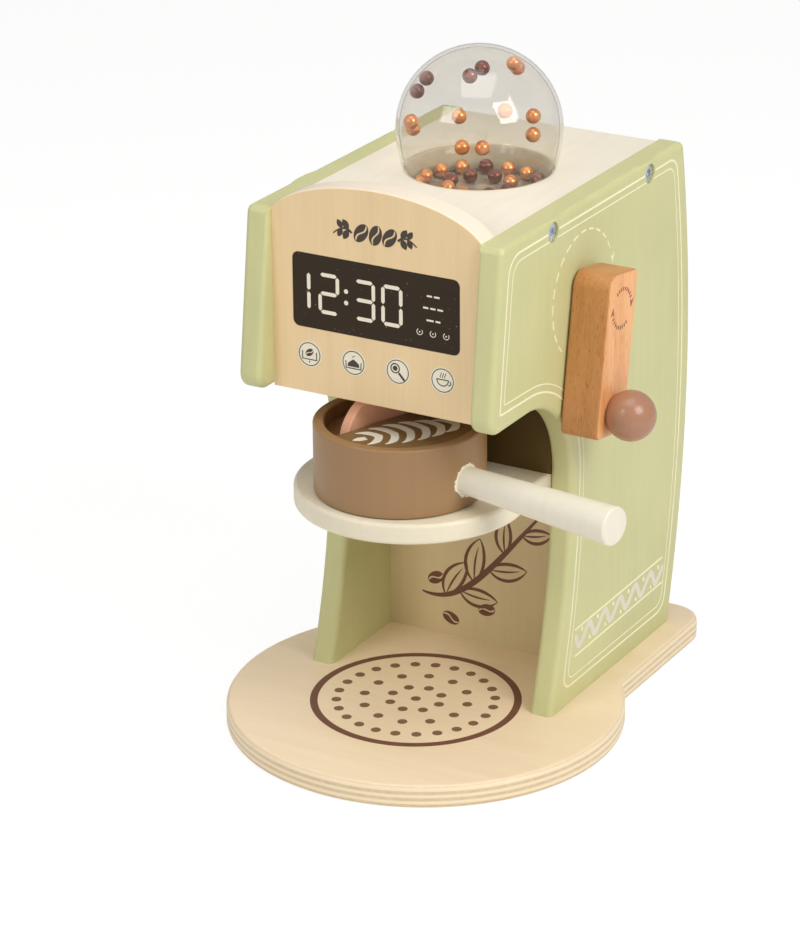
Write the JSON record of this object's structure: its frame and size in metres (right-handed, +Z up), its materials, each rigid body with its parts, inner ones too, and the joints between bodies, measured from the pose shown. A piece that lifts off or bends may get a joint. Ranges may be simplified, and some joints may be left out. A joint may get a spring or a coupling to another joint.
{
  "type": "toy coffee maker",
  "caption": "Wooden toy espresso machine: painted plywood housing on a round-fronted base, clear bead dome, hand crank, and a portafilter with a coin token over a drip plate.",
  "frame": {"origin": "on the table, directly below the centre of the drip ring printed on the base", "axes": "+X to the object's right (crank side), +Y to its back, +Z up"},
  "size_m": [0.2276, 0.2605, 0.3328],
  "materials": {
    "clear_ply": "clear satin lacquer on birch plywood",
    "raw_ply": "bare plywood",
    "green_paint": "satin pale green paint on plywood",
    "cream_paint": "satin cream paint on plywood",
    "dark_paint": "matt dark brown paint",
    "brown_paint": "satin brown paint on solid wood",
    "white_paint": "satin off-white paint on solid wood",
    "peach_paint": "satin peach paint on solid wood",
    "rose_paint": "satin dusty rose paint on solid wood",
    "beech": "clear oiled beech",
    "zinc": "zinc plated",
    "clear_plastic": "clear polished polystyrene",
    "grey_plastic": "smoky translucent plastic",
    "white_nylon": "moulded nylon",
    "copper_bead": "brown and copper pearl beads"
  },
  "bodies": {
    "housing": {"base_board": "clear_ply", "left_side_panel": "green_paint", "right_side_panel": "green_paint", "front_panel": "clear_ply", "top_board": "cream_paint", "head_floor": "raw_ply", "inner_wall": "dark_paint", "picture_panel": "cream_paint", "rear_panel": "clear_ply", "glue_blocks": "raw_ply", "shelf": "cream_paint", "shelf_dowels": "beech", "front_dowels": "beech", "cap_screws": "zinc", "base_screws": "zinc", "rear_screws": "zinc", "dome": "clear_plastic", "bead_tray": "grey_plastic", "tray_screws": "zinc", "beads": "copper_bead"},
    "portafilter": {"cup": "brown_paint", "cup_handle": "white_paint", "cup_filling": "brown_paint"},
    "token": {"token": "peach_paint"},
    "crank": {"crank_arm": "beech", "crank_axle": "beech", "crank_washer": "white_nylon", "axle_collar": "beech", "collar_pin": "zinc", "drum_hub": "beech", "drum_pegs": "beech"},
    "knob": {"knob_ball": "rose_paint", "knob_screw": "zinc"}
  },
  "joints": [
    {"name": "portafilter_slide", "type": "slide", "parent": "housing", "child": "portafilter", "axis": [0, -1, 0], "range_m": [0, 0.044]},
    {"name": "token_turn", "type": "hinge", "parent": "portafilter", "child": "token", "pos_m": [-0.01004, -0.01673, 0.1585], "axis": [0.9397, -0.342, 0], "continuous": true},
    {"name": "crank_turn", "type": "hinge", "parent": "housing", "child": "crank", "pos_m": [0, 0.042, 0.222], "axis": [1, 0, 0], "continuous": true},
    {"name": "knob_spin", "type": "hinge", "parent": "crank", "child": "knob", "pos_m": [0.09985, 0.03402, 0.17163], "axis": [1, 0, 0], "continuous": true}
  ]
}
